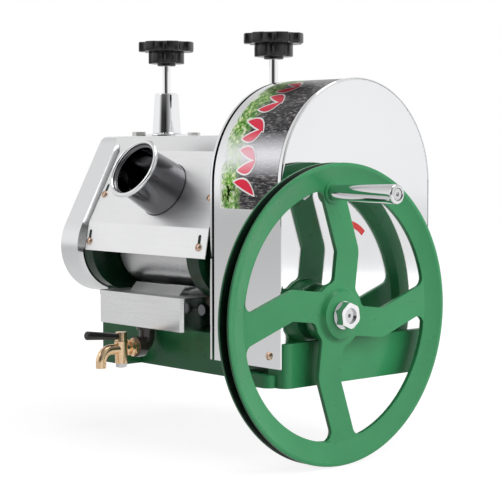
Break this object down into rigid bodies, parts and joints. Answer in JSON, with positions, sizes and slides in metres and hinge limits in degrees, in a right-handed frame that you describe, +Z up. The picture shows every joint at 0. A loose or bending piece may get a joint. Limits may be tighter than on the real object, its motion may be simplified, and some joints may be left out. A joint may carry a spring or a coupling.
{
  "type": "manual sugarcane juicer",
  "caption": "Hand-cranked roller juicer with a spoked green flywheel, geared rollers in a steel housing, star-knob screws, a flared feed tube and a sliding tray with a brass tap.",
  "frame": {"origin": "centre of the base's underside, which is also the centre of the four bench bolt holes", "axes": "+X along the roller and wheel axles towards the flywheel, +Y to the back where crushed cane leaves, +Z up"},
  "size_m": [0.5977, 0.4464, 0.552],
  "materials": {
    "green_enamel": "gloss",
    "mirror_steel": "polished",
    "satin_steel": "brushed",
    "roller_steel": "knurled",
    "machined_steel": "turned",
    "gear_steel": "machined",
    "spring_steel": "oiled",
    "zinc_bolts": "zinc plated",
    "bronze": "satin",
    "tap_brass": "polished",
    "black_plastic": "gloss",
    "lever_sleeve": "satin"
  },
  "bodies": {
    "frame": {"base_frame": "green_enamel", "bearing_blocks": "gear_steel", "cover_back_plate": "mirror_steel", "cover_studs": "machined_steel", "disc_springs": "spring_steel", "discharge_chute": "satin_steel", "feed_tube": "mirror_steel", "frame_bolts": "zinc_bolts", "front_panel": "satin_steel", "gear_cover": "mirror_steel", "juice_guide": "satin_steel", "left_end_cap": "mirror_steel", "left_side_plate": "green_enamel", "outer_bearing_pedestal": "green_enamel", "pressure_pads": "machined_steel", "rear_panel": "satin_steel", "right_side_plate": "green_enamel", "roller_bushes": "bronze", "screw_towers": "satin_steel", "shaft_bushes": "bronze", "sheet_screws": "bronze", "side_plate_bolts": "zinc_bolts", "spacer_bolts": "zinc_bolts", "thumb_screw": "machined_steel", "top_panel": "satin_steel", "tower_nuts": "bronze", "trash_plate": "roller_steel", "trash_plate_bolts": "zinc_bolts"},
    "flywheel": {"flywheel": "green_enamel", "flywheel_shaft": "machined_steel", "pinion": "gear_steel", "flywheel_nut": "machined_steel", "flywheel_washer": "machined_steel", "flywheel_keys": "machined_steel", "handle_bolt": "machined_steel", "handle_nut": "machined_steel"},
    "handle": {"handle_grip": "mirror_steel"},
    "top_roller": {"top_roller": "roller_steel", "drive_gear": "gear_steel", "drive_gear_key": "machined_steel", "top_roller_gear": "gear_steel", "top_roller_nuts": "machined_steel"},
    "front_roller": {"front_roller": "roller_steel", "front_roller_gear": "gear_steel", "front_roller_nut": "machined_steel"},
    "rear_roller": {"rear_roller": "roller_steel", "rear_roller_gear": "gear_steel", "rear_roller_nut": "machined_steel"},
    "left_screw": {"left_screw": "machined_steel"},
    "right_screw": {"right_screw": "machined_steel"},
    "left_knob": {"left_knob": "black_plastic"},
    "right_knob": {"right_knob": "black_plastic"},
    "tray": {"juice_tray": "satin_steel", "tray_strainer": "satin_steel", "drain_elbow": "black_plastic", "tap_body": "tap_brass", "tap_lock_nut": "tap_brass"},
    "tap_lever": {"tap_plug": "tap_brass", "tap_lever": "lever_sleeve", "tap_plug_nut": "machined_steel"}
  },
  "joints": [
    {"name": "flywheel_spin", "type": "hinge", "parent": "frame", "child": "flywheel", "pos_m": [0.22, -0.068, 0.091], "axis": [1, 0, 0], "continuous": true},
    {"name": "handle_spin", "type": "hinge", "parent": "flywheel", "child": "handle", "pos_m": [0.28, -0.08, 0.244], "axis": [1, 0, 0], "continuous": true},
    {"name": "top_roller_spin", "type": "hinge", "parent": "frame", "child": "top_roller", "pos_m": [0, 0, 0.25116], "axis": [1, 0, 0], "continuous": true},
    {"name": "front_roller_spin", "type": "hinge", "parent": "frame", "child": "front_roller", "pos_m": [0, -0.0585, 0.16038], "axis": [1, 0, 0], "continuous": true},
    {"name": "rear_roller_spin", "type": "hinge", "parent": "frame", "child": "rear_roller", "pos_m": [0, 0.0585, 0.16038], "axis": [1, 0, 0], "continuous": true},
    {"name": "left_screw_lift", "type": "slide", "parent": "frame", "child": "left_screw", "axis": [0, 0, 1], "range_m": [0, 0.008]},
    {"name": "left_knob_turn", "type": "hinge", "parent": "left_screw", "child": "left_knob", "pos_m": [-0.202, 0, 0.44], "axis": [0, 0, 1], "range_deg": [0, 1440]},
    {"name": "right_screw_lift", "type": "slide", "parent": "frame", "child": "right_screw", "axis": [0, 0, 1], "range_m": [0, 0.008]},
    {"name": "right_knob_turn", "type": "hinge", "parent": "right_screw", "child": "right_knob", "pos_m": [0.0295, 0, 0.44], "axis": [0, 0, 1], "range_deg": [0, 1440]},
    {"name": "tray_slide", "type": "slide", "parent": "frame", "child": "tray", "axis": [0, -1, 0], "range_m": [0, 0.12]},
    {"name": "tap_lever_turn", "type": "hinge", "parent": "tray", "child": "tap_lever", "pos_m": [-0.0865, -0.174, 0.028], "axis": [0, 0, 1], "range_deg": [0, 90]}
  ],
  "couplings": [
    {"joint": "top_roller_spin", "follows": "flywheel_spin", "ratio": -0.40323},
    {"joint": "front_roller_spin", "follows": "flywheel_spin", "ratio": 0.40323},
    {"joint": "rear_roller_spin", "follows": "flywheel_spin", "ratio": 0.40323},
    {"joint": "left_screw_lift", "follows": "left_knob_turn", "m_per_rad": 0.00031831},
    {"joint": "right_screw_lift", "follows": "right_knob_turn", "m_per_rad": 0.00031831}
  ]
}
